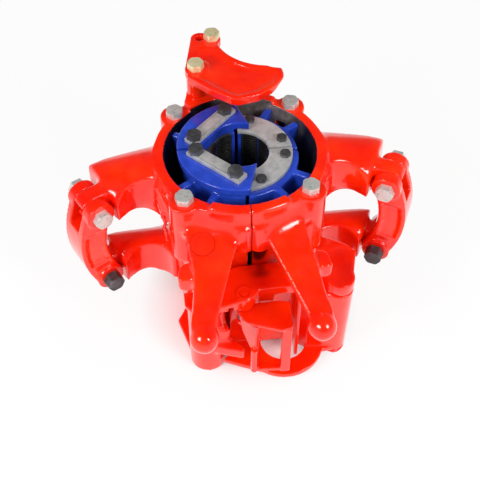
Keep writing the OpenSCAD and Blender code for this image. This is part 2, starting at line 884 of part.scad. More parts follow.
module latch() color(red) {
    difference() {
        union() {
            translate([hub_x, -hub_y, foot_z]) cylinder(r1 = hub_r - 3, r2 = hub_r, h = hub_top - foot_z);
            slab(foot_z, foot_z + foot_t) latch_foot_outline();
            slab(foot_z + 2, hub_top - 4) latch_wall_outline();
            slab(foot_z + 2, latch_top - latch_plate_t + 2) polygon([[92, -148], [-40, -146], [-40, -165], [66, -165],
                [92, -178]]);
            translate([77, -204, foot_z + 2]) cube([7, 44, latch_top - foot_z - 8]);
            translate([8, -199, latch_top - latch_plate_t - 20]) cube([28, 40, latch_plate_t + 10]);
            slab(latch_top - latch_plate_t, latch_top) latch_upper_outline();
            translate([lock_x, lock_y, lock_boss_z]) cylinder(r = lock_boss_r, h = latch_top - lock_boss_z);
            translate([lock_x, lock_y, latch_top]) cylinder(r1 = lock_boss_r, r2 = lock_boss_r - 3, h = 3);
        }
        slab(latch_top - latch_plate_t - 1, latch_top - nose_t) translate([-mouth_r, -body_h])
            square([mouth_r + lock_x - lock_boss_r - 4, body_h]);
        translate([hub_x, -hub_y, -1]) cylinder(r = latch_pin_r + pin_play, h = body_h);
        translate([lock_x, lock_y, lock_boss_z - 1]) cylinder(r = lock_pin_r + pin_play, h = body_h);
    }
}

module latch_pin() color(zinc) {
    translate([hub_x, -hub_y, 0.5]) cylinder(r = latch_pin_r, h = lug_top - lug_cap - 1);
}

// Latch lock: a sprung pawl with a D-shaped pull

module lock_fan_outline() {
    difference() {
        hull() {
            dot([lock_x, lock_y], lock_r + 2.5);
            dot(pull_post + [-2, 24], 17);
            polygon([[grip_x - 11, grip_y - 8], [grip_x + 9, grip_y - 3], [grip_x + 12, lock_y - 4]]);
        }
        translate([lock_x + 17, lock_y + 1]) square([90, 60]);
    }
    polygon([[tooth_x, -catch_y - 17], [tooth_x, -catch_y - 7], [tooth_x + 12, -catch_y - 6], [lock_x, lock_y + 12],
        [lock_x - 10, lock_y + 2]]);
}

// Web under the fan that narrows down to the pull's post
module lock_web() {
    translate([lock_x - 5, lock_y - 21, 0]) rotate([0, 0, -48]) across(9)
        polygon([[-5, fan_z + 2], [34, fan_z + 2], [33, pull_z + 60], [20, pull_z + 60], [2, fan_z - 36]]);
}

module latch_lock() color(red) {
    difference() {
        union() {
            translate([lock_x, lock_y, fan_z - lock_hub_h]) cylinder(r = lock_r, h = lock_hub_h + 1);
            slab(fan_z, fan_z + fan_t) lock_fan_outline();
            translate([grip_x - 9, grip_y - 6, pull_z]) cube([17, 14, fan_z + 2 - pull_z]);
            slab(pull_z, pull_z + 9) polygon([pull_post + [-2, 5], pull_post + [0, -5], [grip_x, grip_y - 4],
                [grip_x, grip_y + 5]]);
            slab(pull_z - 2, pull_z + 66) dot(pull_post, 6.5);
            lock_web();
        }
        translate([lock_x, lock_y, 0]) cylinder(r = lock_pin_r + pin_play, h = body_h);
    }
}

module lock_pin() color(red) {
    translate([lock_x, lock_y, collar_z - 6]) cylinder(r = lock_pin_r, h = lock_boss_top - collar_z + 6);
    translate([lock_x, lock_y, collar_z - 6]) cylinder(r = lock_pin_r + 6, h = 6);
}

module lock_spring() color(steel) {
    translate([lock_x, lock_y, collar_z + 0.3]) coil(lock_pin_r + 2.4, 1.6, lock_spring_h, 3);
}

// Link blocks: a fork at each end over the ear's tongues, joined by a bowed strap

module strap_outline() {
    outer_r = 205;
    inner_r = 160;
    intersection() {
        difference() {
            dot([link_outer - outer_r, 0], outer_r);
            dot([-link_inner - inner_r, 0], inner_r);
        }
        translate([-horn_end, -link_half]) square([link_outer + horn_end, 2 * link_half]);
    }
}

module link_block() color(red) {
    ear_frame(link_mid_z) difference() {
        union() {
            across(link_neck_w) strap_outline();
            for (s = [-1, 1]) translate([0, 0, s * link_half]) across(link_w) circle(r = link_boss_r);
        }
        for (s = [-1, 1]) translate([0, s * link_neck_w / 2, 0]) across(2 * strap_pocket) intersection() {
            offset(r = 4) offset(delta = -13) strap_outline();
            square([200, link_half], center = true);
        }
        for (s = [-1, 1]) translate([0, 0, s * (link_half + 10)])
            cube([200, tongue_t + side_play, 2 * (tongue_r + 20)], center = true);
        for (s = [-1, 1]) translate([0, 0, s * link_half]) across(link_w + 2)
            circle(r = link_bolt_r + pin_play);
    }
}

// A bolt along the ear's pin line with its head at the front
module ear_bolt(z, af, h, tail) {
    ear_frame(z) translate([0, link_w / 2, 0]) rotate([-90, 0, 0]) hex_bolt(link_bolt_r, link_w + tail, af, h);
}

module ear_nut(z, af, h) {
    ear_frame(z) translate([0, -link_w / 2, 0]) rotate([90, 0, 0]) hex_nut(link_bolt_r, af, h);
}

link_head_h = 1.3 * link_bolt_r;
pivot_head_h = 2 * link_bolt_r;

module link_block_left() { link_block(); }
module link_block_right() { mirror([1, 0, 0]) link_block(); }
module link_bolt_left() color(zinc) { ear_bolt(link_top_z, pivot_head_af, link_head_h, 18); }
module link_bolt_right() color(zinc) { mirror([1, 0, 0]) ear_bolt(link_top_z, pivot_head_af, link_head_h, 18); }
module link_nut_left() color(zinc) { ear_nut(link_top_z, pivot_head_af, 16); }
module link_nut_right() color(zinc) { mirror([1, 0, 0]) ear_nut(link_top_z, pivot_head_af, 16); }
module pivot_bolt_left() color(black) { ear_bolt(link_low_z, pivot_head_af, pivot_head_h, 18); }
module pivot_bolt_right() color(black) { mirror([1, 0, 0]) ear_bolt(link_low_z, pivot_head_af, pivot_head_h, 18); }
module pivot_nut_left() color(black) { ear_nut(link_low_z, pivot_head_af, 16); }
module pivot_nut_right() color(black) { mirror([1, 0, 0]) ear_nut(link_low_z, pivot_head_af, 16); }

body_left();
body_right();
handle_plug();
hinge_pin();
hinge_nut();
guide_bolts_left();
guide_nuts_left();
guide_bolts_right();
guide_nuts_right();
lift_spring_fl();
lift_spring_rl();
lift_spring_fr();
lift_spring_rr();
slip_fl();
slip_rl();
slip_fr();
slip_rr();
dies_fl();
dies_rl();
dies_fr();
dies_rr();
bar_fl();
bar_rl();
bar_bolts_fl();
bar_bolts_rl();
retainer_fr();
retainer_rr();
retainer_bolts_fr();
retainer_bolts_rr();
stop_plate();
stop_plate_bolts();
latch();
latch_pin();
latch_lock();
lock_pin();
lock_spring();
link_block_left();
link_block_right();
link_bolt_left();
link_bolt_right();
link_nut_left();
link_nut_right();
pivot_bolt_left();
pivot_bolt_right();
pivot_nut_left();
pivot_nut_right();
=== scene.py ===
# Looks of a slip elevator for drill pipe: painted castings, toothed dies, bolts, floor, light and camera
import json
import math

import bmesh
import bpy
import numpy as np
from mathutils import Matrix, Vector


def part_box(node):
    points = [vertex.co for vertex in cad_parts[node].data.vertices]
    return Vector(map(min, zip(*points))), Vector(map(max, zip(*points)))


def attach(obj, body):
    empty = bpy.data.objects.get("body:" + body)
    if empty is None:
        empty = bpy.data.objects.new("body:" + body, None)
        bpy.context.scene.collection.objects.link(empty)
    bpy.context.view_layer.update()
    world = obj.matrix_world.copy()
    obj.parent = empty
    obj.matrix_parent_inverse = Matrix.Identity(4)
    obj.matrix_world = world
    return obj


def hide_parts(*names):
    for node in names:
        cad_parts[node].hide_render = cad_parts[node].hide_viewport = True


MM = 0.001

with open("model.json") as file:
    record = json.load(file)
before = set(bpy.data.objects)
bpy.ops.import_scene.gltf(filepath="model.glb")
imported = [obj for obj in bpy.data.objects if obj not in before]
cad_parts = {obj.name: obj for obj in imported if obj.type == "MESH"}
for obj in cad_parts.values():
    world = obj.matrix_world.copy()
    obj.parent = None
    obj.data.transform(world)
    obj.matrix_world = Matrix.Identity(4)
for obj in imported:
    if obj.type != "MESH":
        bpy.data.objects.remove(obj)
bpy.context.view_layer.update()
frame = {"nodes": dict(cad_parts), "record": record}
nodes = frame["nodes"]
body_of_node = {n: b for b, names in frame["record"]["behaviour"]["bodies"].items() for n in names}
slot_of_node = {p["node"]: p["material_slot"] for p in frame["record"]["subparts"]}

# Bowl and ring, in millimetres as all sizes down to the floor, and the same as in the solids
BODY_H = 380.0
MOUTH_R = 136.0
THROAT_H = 55.0
TAPER = math.tan(math.radians(9.46))
RING_R = 154.0
RING_INNER_R = RING_R - 12
SLOT_TOP = 285.0

# Right ear with its horns' end, corner and shoulder, and the link block in it
EAR_X, EAR_Y = 268.0, -42.0
EAR_TURN = math.radians(28)
HORN_END = 30.0
HORN_CORNER = (221.0, -67.0)
HORN_SHOULDER = (273.0, 32.0)
LINK_W = 76.0
LINK_LOW_Z = 145.0
PIVOT_HEAD_R = 25.0

# Guide bolts, the rooms round them and the slips' lugs
GUIDE_PITCH_R = 151.5
GUIDE_BOLT_R = 9.5
GUIDE_ROOM_R = 19.0
LUG_Z = 300.0
LUG_H = 20.0
GUIDE_ROOM_TOP = LUG_Z + 66
LIFT_OUT = 3.0

# Plug in the left handle
PLUG_CENTRE = (-84.0, -166.1, 326.6)
PLUG_R = 21.0

# Dies
PIPE_R = 50.8
DIE_T = 15.0
DIE_Z0 = 100.0
DIE_TOP = 363.0
DIE_COUNT = 4
DIE_GAP = 0.7
DIE_SIDE_A = 10.5
DIE_MID_A = 1.5
DIE_PLAY_A = 0.15


def bowl_radius(z):
    """Radius of the bowl's wall at a height, in millimetres."""
    return MOUTH_R - (BODY_H - np.maximum(z, THROAT_H)) * TAPER


def new_object(name, data):
    """An object in the scene that shows this mesh, lamp or camera."""
    obj = bpy.data.objects.new(name, data)
    bpy.context.scene.collection.objects.link(obj)
    return obj


# Materials


def set_stops(ramp, stops):
    """Gives a colour ramp these places and colours."""
    while len(ramp.elements) < len(stops):
        ramp.elements.new(0.5)
    for element, (place, colour) in zip(ramp.elements, stops):
        element.position = place
        element.color = (*colour, 1.0)


class Shader:
    """A material with a Principled shader and short calls that add nodes to it."""

    def __init__(self, name):
        self.material = bpy.data.materials.new(name)
        self.material.use_nodes = True
        self.tree = self.material.node_tree
        self.bsdf = self.tree.nodes["Principled BSDF"]
        self.coords = self.tree.nodes.new("ShaderNodeTexCoord").outputs["Object"]

    def add(self, kind, **values):
        node = self.tree.nodes.new(kind)
        for key, value in values.items():
            setattr(node, key, value)
        return node

    def link(self, a, b):
        self.tree.links.new(a, b)

    def noise(self, size_mm, detail=3.0, rough=0.5, distortion=0.0, stretch=None):
        """Noise with lumps of about this size, drawn out along an axis where stretch is small."""
        node = self.add("ShaderNodeTexNoise")
        node.inputs["Scale"].default_value = 1.0 / (size_mm * MM)
        node.inputs["Detail"].default_value = detail
        node.inputs["Roughness"].default_value = rough
        node.inputs["Distortion"].default_value = distortion
        source = self.coords
        if stretch:
            mapping = self.add("ShaderNodeMapping")
            mapping.inputs["Scale"].default_value = stretch
            self.link(self.coords, mapping.inputs["Vector"])
            source = mapping.outputs["Vector"]
        self.link(source, node.inputs["Vector"])
        return node.outputs["Fac"]

    def ramp(self, fac, stops):
        node = self.add("ShaderNodeValToRGB")
        set_stops(node.color_ramp, stops)
        self.link(fac, node.inputs["Fac"])
        return node.outputs["Color"]

    def grey(self, fac, low, high, start=0.35, end=0.65):
        """A number that goes from low to high while fac goes from start to end."""
        node = self.add("ShaderNodeMapRange")
        node.inputs["From Min"].default_value = start
        node.inputs["From Max"].default_value = end
        node.inputs["To Min"].default_value = low
        node.inputs["To Max"].default_value = high
        self.link(fac, node.inputs["Value"])
        return node.outputs["Result"]

    def mix(self, fac, a, b):
        """A colour that goes from a to b with fac, where each may be a socket or a fixed colour."""
        node = self.add("ShaderNodeMix", data_type="RGBA")
        self.link(fac, node.inputs["Factor"])
        for colour, socket in ((a, node.inputs["A"]), (b, node.inputs["B"])):
            if isinstance(colour, bpy.types.NodeSocket):
                self.link(colour, socket)
            else:
                socket.default_value = (*colour, 1.0)
        return node.outputs["Result"]

    def bump(self, height, depth_mm, normal=None):
        node = self.add("ShaderNodeBump")
        node.inputs["Strength"].default_value = 1.0
        node.inputs["Distance"].default_value = depth_mm * MM
        self.link(height, node.inputs["Height"])
        if normal:
            self.link(normal, node.inputs["Normal"])
        return node.outputs["Normal"]

    def reach(self, centre_mm, radii_mm):
        """Distance from a point of the object, 1 on an ellipsoid of these radii."""
        offset = self.add("ShaderNodeVectorMath", operation="SUBTRACT")
        offset.inputs[1].default_value = [c * MM for c in centre_mm]
        self.link(self.coords, offset.inputs[0])
        scaled = self.add("ShaderNodeVectorMath", operation="MULTIPLY")
        scaled.inputs[1].default_value = [1.0 / (r * MM) for r in radii_mm]
        self.link(offset.outputs["Vector"], scaled.inputs[0])
        length = self.add("ShaderNodeVectorMath", operation="LENGTH")
        self.link(scaled.outputs["Vector"], length.inputs[0])
        return length.outputs["Value"]

    def worn_edges(self):
        """A number that is 1 on sharp outer edges and 0 on flat faces."""
        geometry = self.add("ShaderNodeNewGeometry")
        return self.grey(geometry.outputs["Pointiness"], 0.0, 1.0, start=0.52, end=0.6)

    def set(self, **values):
        """Sets the shader's own sockets and gives the finished material."""
        for key, value in values.items():
            socket = self.bsdf.inputs[key.replace("_", " ")]
            if isinstance(value, bpy.types.NodeSocket):
                self.link(value, socket)
            else:
                socket.default_value = value
        return self.material


def enamel(name, deep, main, light, cast=1.0, gloss=0.7, shine=0.3, marks=()):
    """Gloss enamel sprayed over a rough casting, with dark marks of painted shade."""
    s = Shader(name)
    tone = s.ramp(s.noise(60, detail=4, rough=0.55), [(0.3, deep), (0.5, main), (0.72, light)])
    # Each mark is painted shade: the colour darkens towards the mark's colour within its reach.
    for centre, radii, full, none, colour in marks:
        tone = s.mix(s.grey(s.reach(centre, radii), 1.0, 0.0, start=full, end=none), tone, colour)
    waves = s.bump(s.noise(34, detail=2, rough=0.45, distortion=0.4), 1.3 * cast)
    sand = s.bump(s.noise(6, rough=0.55), 0.2 * cast, waves)
    peel = s.bump(s.noise(1.6, detail=2), 0.025, sand)
    return s.set(Base_Color=tone, Roughness=s.grey(s.noise(22, detail=4, rough=0.6), 0.10, 0.26), Normal=peel,
                 Coat_Weight=gloss, Coat_Roughness=0.05, Coat_IOR=1.5, Specular_IOR_Level=shine)


def plated(name, low, high, rough=(0.2, 0.38), grain=(1, 1, 1), size=7, depth=0.03, metal=0.8):
    """Bare or plated metal with fine scratches and stains."""
    s = Shader(name)
    tone = s.ramp(s.noise(14, detail=5, rough=0.6), [(0.28, low), (0.7, high)])
    scratch = s.noise(size, detail=4, rough=0.7, stretch=grain)
    return s.set(Base_Color=tone, Metallic=metal, Roughness=s.grey(scratch, *rough),
                 Normal=s.bump(scratch, depth))


def black_oxide(name, deep, light, rub, rough, metal):
    """Oiled black oxide on steel, with grey rubs on the edges."""
    s = Shader(name)
    tone = s.ramp(s.noise(9, detail=5, rough=0.65), [(0.3, deep), (0.7, light)])
    return s.set(Base_Color=s.mix(s.worn_edges(), tone, rub), Metallic=metal,
                 Roughness=s.grey(s.noise(4, detail=4), *rough), Normal=s.bump(s.noise(1.4), 0.05))


# The bowl's wall goes from greased to rubbed bright with a painted sheen between these two places along this
# direction
RUBBED_SHEEN_TOWARDS = (4.6, 8.9, 0.0)
RUBBED_SHEEN_FROM, RUBBED_SHEEN_TO = 0.95, 1.5


def bowl_steel(name):
    """Dark turned steel of the bowl's wall, greased all round and rubbed bright with a painted sheen at the
    rear right.
    """
    s = Shader(name)
    grease = s.ramp(s.noise(30, detail=5, rough=0.6),
                    [(0.3, (0.006, 0.006, 0.008)), (0.62, (0.02, 0.02, 0.024)), (0.85, (0.06, 0.06, 0.065))])
    # Rubbed steel, lightened further to paint in the sheen of a reflection
    rubbed_sheen = s.ramp(s.noise(26, detail=5, rough=0.65),
                    [(0.3, (0.16, 0.12, 0.11)), (0.55, (0.42, 0.36, 0.33)), (0.75, (0.80, 0.77, 0.72))])
    place = s.add("ShaderNodeVectorMath", operation="DOT_PRODUCT")
    place.inputs[1].default_value = RUBBED_SHEEN_TOWARDS
    s.link(s.coords, place.inputs[0])
    patch = s.grey(place.outputs["Value"], 0.0, 1.0, start=RUBBED_SHEEN_FROM, end=RUBBED_SHEEN_TO)
    rings = s.noise(2.2, rough=0.6, stretch=(0.08, 0.08, 1.0))
    return s.set(Base_Color=s.mix(patch, grease, rubbed_sheen), Metallic=0.5, Roughness=s.grey(rings, 0.28, 0.5),
                 Normal=s.bump(rings, 0.04))


RED_TONES = (0.84, 0.007, 0.0004), (0.95, 0.016, 0.0005), (0.99, 0.030, 0.001)
BLUE_TONES = (0.010, 0.028, 0.26), (0.017, 0.052, 0.45), (0.030, 0.085, 0.62)

# Painted shade in the red: centre, radii, the reach where the shade is full and where it ends, and its colour
# Painted shade on the right half's front wall, between the seam slot and the handle
SLOT_PAINTED_SHADE = ((17, -150, 256), (20, 26, 34), 0.65, 1.0, (0.05, 0.003, 0.002))
LATCH_SHADE = ((16, -164, 227), (22, 13, 6), 0.1, 1.0, (0.45, 0.007, 0.001))
# Painted shade round the plug's rim, as in a shadowed groove
PLUG_RIM_PAINTED_SHADE = (PLUG_CENTRE, (PLUG_R,) * 3, 0.975, 0.93, (0.5, 0.008, 0.001))

# The red enamel carries the painted shade beside the seam slot and on the latch plate
RED = enamel("red_enamel", *RED_TONES, marks=[SLOT_PAINTED_SHADE, LATCH_SHADE])
# The plug's enamel carries the painted shade round its rim
PLUG = enamel("plug_enamel", *RED_TONES, marks=[PLUG_RIM_PAINTED_SHADE])
BLUE = enamel("blue_enamel", *BLUE_TONES, cast=0.45, gloss=0.4, shine=0.5)
STEEL = plated("ground_steel", (0.38, 0.38, 0.38), (0.62, 0.62, 0.61), rough=(0.38, 0.55),
               grain=(1.0, 0.08, 1.0), size=2.5, depth=0.02, metal=0.35)
ZINC = plated("zinc_plate", (0.54, 0.54, 0.51), (0.76, 0.76, 0.72), rough=(0.25, 0.42),
              depth=0.005, metal=0.5)
YELLOW = plated("yellow_zinc", (0.66, 0.55, 0.28), (0.90, 0.82, 0.53), rough=(0.26, 0.42),
                depth=0.005, metal=0.4)
SPRING = plated("spring_steel", (0.16, 0.16, 0.17), (0.34, 0.34, 0.35), rough=(0.3, 0.5))
BLACK = black_oxide("black_oxide", (0.026, 0.026, 0.028), (0.075, 0.075, 0.080), rub=(0.16, 0.16, 0.165),
                    rough=(0.3, 0.5), metal=0.3)
OILED = black_oxide("oiled_dies", (0.006, 0.006, 0.006), (0.018, 0.018, 0.018), rub=(0.11, 0.11, 0.10),
                    rough=(0.2, 0.38), metal=0.5)
BOWL = bowl_steel("bowl_steel")

SLOT_LOOKS = {
    "red_paint": RED, "blue_paint": BLUE, "black_steel": BLACK, "brushed_steel": STEEL,
    "zinc": ZINC, "yellow_zinc": YELLOW, "spring_steel": SPRING,
}


def dress(obj, *materials):
    """Gives an object these materials and no others."""
    obj.data.materials.clear()
    for material in materials:
        obj.data.materials.append(material)


for name, obj in nodes.items():
    dress(obj, SLOT_LOOKS[slot_of_node[name]])
dress(nodes["handle_plug"], PLUG)


# Machined pieces: their edges are broken, by this much in each slot

EDGE_WIDTH = {"black_steel": 0.8, "brushed_steel": 0.6, "zinc": 0.9, "yellow_zinc": 0.9}
WELD_GAP = 0.01
SHARP_EDGE = math.radians(32)


def break_edges(obj, width):
    """Takes the sharp edges off a machined piece, as a file does."""
    weld = obj.modifiers.new("one_skin", "WELD")
    weld.merge_threshold = WELD_GAP * MM
    bevel = obj.modifiers.new("broken_edges", "BEVEL")
    bevel.width = width * MM
    bevel.segments = 2
    bevel.limit_method = "ANGLE"
    bevel.angle_limit = SHARP_EDGE
    bevel.harden_normals = True


for name, obj in nodes.items():
    if slot_of_node[name] in EDGE_WIDTH and not name.startswith("dies"):
        break_edges(obj, EDGE_WIDTH[slot_of_node[name]])


# Castings: copies of the solids with cast fillets grown into their corners and their edges rounded

STEP_SHARE = 0.5
LEAST_RISE = 0.02
NORMALS_EVERY = 12
ROOT_VOXEL = 5.0
ROOT_SINK = 4.0

# Bead of rough lumps down the right half's barrel, which the left half mirrors
BEAD_TOP = (151.0, -45.0, 346.0)
BEAD_FOOT = (141.0, -62.0, 218.0)
BEAD_LUMPS = 30
BEAD_LUMP_R = (2.6, 5.0)
BEAD_WANDER = 1.8
BEAD_SEED = 7


def mesh_arrays(mesh):
    """A mesh's points and edges as arrays."""
    points = np.empty(len(mesh.vertices) * 3)
    mesh.vertices.foreach_get("co", points)
    edges = np.empty(len(mesh.edges) * 2, dtype=np.int64)
    mesh.edges.foreach_get("vertices", edges)
    return points.reshape(-1, 3), edges.reshape(-1, 2)


def points_mm(mesh):
    """A mesh's points in millimetres."""
    return mesh_arrays(mesh)[0] / MM


def set_points(mesh, points):
    """Moves a mesh's points to these places, in metres."""
    mesh.vertices.foreach_set("co", points.ravel())
    mesh.update()


def point_normals(mesh):
    """The normals at a mesh's points."""
    normals = np.empty(len(mesh.vertices) * 3)
    mesh.vertex_normals.foreach_get("vector", normals)
    return normals.reshape(-1, 3)


def polygon_array(mesh, key):
    """The centres or normals of a mesh's faces."""
    values = np.empty(len(mesh.polygons) * 3)
    mesh.polygons.foreach_get(key, values)
    return values.reshape(-1, 3)


def neighbour_count(points, edges):
    """How many neighbours each point has, at least 1."""
    return np.maximum(np.bincount(edges.ravel(), minlength=len(points)), 1)


def neighbour_mean(points, edges, count):
    """The mean of each point's neighbours."""
    a, b = edges[:, 0], edges[:, 1]
    out = np.empty_like(points)
    for axis in range(3):
        ahead = np.bincount(a, points[b, axis], len(points))
        behind = np.bincount(b, points[a, axis], len(points))
        out[:, axis] = ahead + behind
    return out / count[:, None]


def grow_fillets(mesh, passes, free):
    """Fills the inside corners a little with each pass, where free is 1."""
    points, edges = mesh_arrays(mesh)
    count = neighbour_count(points, edges)
    for i in range(passes):
        if i % NORMALS_EVERY == 0:
            set_points(mesh, points)
            normals = point_normals(mesh)
        step = neighbour_mean(points, edges, count) - points
        rise = (step * normals).sum(1)
        rise = np.where(rise > LEAST_RISE * MM, rise, 0.0)
        points = points + STEP_SHARE * free[:, None] * rise[:, None] * normals
    set_points(mesh, points)


def round_edges(mesh, passes, free):
    """Rounds all edges a little with each pass, where free is 1."""
    points, edges = mesh_arrays(mesh)
    count = neighbour_count(points, edges)
    for _ in range(passes):
        points = points + STEP_SHARE * free[:, None] * (neighbour_mean(points, edges, count) - points)
    set_points(mesh, points)


def remeshed(mesh, voxel):
    """The outer skin of a mesh, in even faces of about one voxel."""
    holder = new_object("remesh_holder", mesh)
    remesh = holder.modifiers.new("voxels", "REMESH")
    remesh.mode = "VOXEL"
    remesh.voxel_size = voxel * MM
    graph = bpy.context.evaluated_depsgraph_get()
    skin = bpy.data.meshes.new_from_object(holder.evaluated_get(graph))
    bpy.data.objects.remove(holder)
    return skin


def joined_mesh(name, both, *used):
    """The mesh of a bmesh, which takes the place of the meshes that went into it."""
    mesh = bpy.data.meshes.new(name)
    both.to_mesh(mesh)
    both.free()
    for old in used:
        bpy.data.meshes.remove(old)
    return mesh


def with_roots(mesh, roots, passes):
    """The mesh with a coarse skin of itself that has deep fillets at the roots and is sunk elsewhere."""
    skin = remeshed(mesh, ROOT_VOXEL)
    free = roots(points_mm(skin))
    grow_fillets(skin, passes, free)
    sink = (1.0 - free)[:, None] * ROOT_SINK * MM * point_normals(skin)
    set_points(skin, mesh_arrays(skin)[0] - sink)
    both = bmesh.new()
    both.from_mesh(mesh)
    both.from_mesh(skin)
    return joined_mesh("rooted", both, mesh, skin)


def with_bead(mesh, side):
    """The mesh with a rough bead down the barrel, where the casting's upper horn was dressed."""
    draw = np.random.RandomState(BEAD_SEED)
    both = bmesh.new()
    both.from_mesh(mesh)
    for t in np.linspace(0.0, 1.0, BEAD_LUMPS):
        centre = [a + (b - a) * t for a, b in zip(BEAD_TOP, BEAD_FOOT)]
        wander = draw.uniform(-BEAD_WANDER, BEAD_WANDER, 3)
        place = [(c + w) * MM for c, w in zip(centre, wander)]
        place[0] *= side
        bmesh.ops.create_icosphere(both, subdivisions=2, radius=draw.uniform(*BEAD_LUMP_R) * MM,
                                   matrix=Matrix.Translation(place))
    return joined_mesh("beaded", both, mesh)


def casting(name, voxel, fill, relax, materials, hold=None, roots=None, root_fill=0, blunt=None, blunting=0,
            clear=None):
    """A cast copy of a CAD node, which stands for it.

    fill, relax, root_fill and blunting are numbers of passes. hold, roots and blunt give each point
    a share from 0 to 1, and clear moves points.
    """
    rough = nodes[name].data.copy()
    if roots:
        rough = with_bead(with_roots(rough, roots, root_fill), 1 if name == "body_right" else -1)
    mesh = remeshed(rough, voxel)
    mesh.name = "cast_" + name
    bpy.data.meshes.remove(rough)
    copy = new_object("cast_" + name, mesh)
    free = 1.0 - hold(points_mm(mesh)) if hold else np.ones(len(mesh.vertices))
    grow_fillets(mesh, fill, free)
    round_edges(mesh, relax, free)
    if blunt:
        round_edges(mesh, blunting, free * blunt(points_mm(mesh)))
    if clear:
        set_points(mesh, clear(points_mm(mesh)) * MM)
    mesh.polygons.foreach_set("use_smooth", np.ones(len(mesh.polygons), dtype=bool))
    dress(copy, *materials)
    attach(copy, body_of_node[name])
    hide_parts(name)
    return copy


# Where the castings are held, bare, filled or blunt, with a pair for each share that rises or falls

HOLD_WALL = 1.5
HOLD_RIM = 2.0
HOLD_SEAM = 2.2
BARE_WALL = 0.9
BARE_RIM = 1.5
BARE_SEAM = 3.0
BARE_FACING = 0.7

ROOT_INNER = (RING_INNER_R, RING_R - 4)
ROOT_OUTER = (RING_R + 55, RING_R + 75)
ROOT_LOW = (234, 242)
ROOT_HIGH = (352, 360)
ROOT_REAR = (95, 110)
ROOT_SEAM = (4, 9)
ROOT_PLUG = (PLUG_R + 4, PLUG_R + 16)

CORNER_REACH = (9, 20)
SHOULDER_REACH = (14, 34)
HORN_END_RISE = (HORN_END - 3, HORN_END)
HORN_END_FALL = (HORN_END + 8, HORN_END + 22)
HORN_END_SHARE = 0.5

SEAM_NEAR = 2.6
SEAM_FRONT = -100
SEAM_FOOT = SLOT_TOP + 2
SEAM_SHARE = 0.4

TIP_START, TIP_FULL = 34, 10

# Room kept between moving pieces, how far past a lug it goes, and the depth of the link blocks' outer faces
ROOM = 0.9
LUG_SPARE = 8
FACE_DEPTH = 4


def ease(value, low, high):
    """0 below low, 1 above high and a smooth step between them."""
    t = np.clip((value - low) / (high - low), 0.0, 1.0)
    return t * t * (3 - 2 * t)


def near_bowl(p):
    """1 on the bowl's wall, in the guides' rooms and at the halves' seam, which stay as they are."""
    r = np.hypot(p[:, 0], p[:, 1])
    wall = (r < bowl_radius(p[:, 2]) + HOLD_WALL) & (p[:, 2] < BODY_H + HOLD_RIM)
    seam = np.abs(p[:, 0]) < HOLD_SEAM
    corner = GUIDE_PITCH_R * math.sqrt(0.5)
    guide = np.hypot(np.abs(p[:, 0]) - corner, np.abs(p[:, 1]) - corner) < GUIDE_ROOM_R
    room = (guide | (r < RING_INNER_R)) & (p[:, 2] < GUIDE_ROOM_TOP)
    return (wall | seam | room).astype(float)


def bare_bowl(mesh):
    """Gives the second material to a half's bare faces: the bowl's wall and the seam between the halves."""
    p = polygon_array(mesh, "center") / MM
    facing = polygon_array(mesh, "normal")
    r = np.hypot(p[:, 0], p[:, 1])
    wall = (r < bowl_radius(p[:, 2]) + BARE_WALL) & (p[:, 2] < BODY_H - BARE_RIM)
    seam = (np.abs(p[:, 0]) < BARE_SEAM) & (np.abs(facing[:, 0]) > BARE_FACING)
    mesh.polygons.foreach_set("material_index", (wall | seam).astype(np.int32))


def cast_roots(p):
    """1 where horns and handles grow out of the barrel and ring, with the deepest fillets."""
    r = np.hypot(p[:, 0], p[:, 1])
    out = ease(r, *ROOT_INNER) * (1 - ease(r, *ROOT_OUTER))
    level = ease(p[:, 2], *ROOT_LOW) * (1 - ease(p[:, 2], *ROOT_HIGH))
    front = 1 - ease(p[:, 1], *ROOT_REAR)
    apart = ease(np.abs(p[:, 0]), *ROOT_SEAM)
    plug = ease(np.linalg.norm(p - np.array(PLUG_CENTRE), axis=1), *ROOT_PLUG)
    return out * level * front * apart * plug


def horn_corners(p):
    """1 at the horns' outer corners and end edges, which are blunt."""
    x, y = np.abs(p[:, 0]), p[:, 1]
    corner = 1 - ease(np.hypot(x - HORN_CORNER[0], y - HORN_CORNER[1]), *CORNER_REACH)
    shoulder = 1 - ease(np.hypot(x - HORN_SHOULDER[0], y - HORN_SHOULDER[1]), *SHOULDER_REACH)
    inward = (EAR_X - x) * math.cos(EAR_TURN) + (y - EAR_Y) * math.sin(EAR_TURN)
    rise = ease(inward, *HORN_END_RISE)
    end = rise * (1 - ease(inward, *HORN_END_FALL))
    return np.maximum(corner, np.maximum(shoulder * rise, HORN_END_SHARE * end))


def plate_tip(p):
    """1 at the stop plate's free end, which is round."""
    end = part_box("stop_plate")[1][0] / MM
    return ease(p[:, 0], end - TIP_START, end - TIP_FULL)


def close_seam(mesh):
    """Brings the halves' ring faces nearer to each other at the front, where the seam is a thin line."""
    points = mesh_arrays(mesh)[0]
    x, y, z = (points / MM).T
    at_seam = (np.abs(x) < SEAM_NEAR) & (y < SEAM_FRONT) & (z > SEAM_FOOT)
    points[at_seam, 0] *= SEAM_SHARE
    set_points(mesh, points)


def clear_of_guide(turn):
    """What keeps a slip's points clear of its guide bolt over the whole lift."""
    c, s = math.cos(math.radians(turn)), math.sin(math.radians(turn))

    def clear(p):
        along = p[:, 0] * c + p[:, 1] * s
        across = p[:, 1] * c - p[:, 0] * s
        axis = np.clip(along, GUIDE_PITCH_R - LIFT_OUT, GUIDE_PITCH_R)
        reach = np.hypot(along - axis, across)
        at_lug = (p[:, 2] > LUG_Z - LUG_SPARE) & (p[:, 2] < LUG_Z + LUG_H + LUG_SPARE)
        tight = (reach < GUIDE_BOLT_R + ROOM) & at_lug
        grow = np.where(tight, (GUIDE_BOLT_R + ROOM) / np.maximum(reach, 0.001), 1.0)
        along, across = axis + (along - axis) * grow, across * grow
        return np.stack([along * c - across * s, along * s + across * c, p[:, 2]], 1)

    return clear


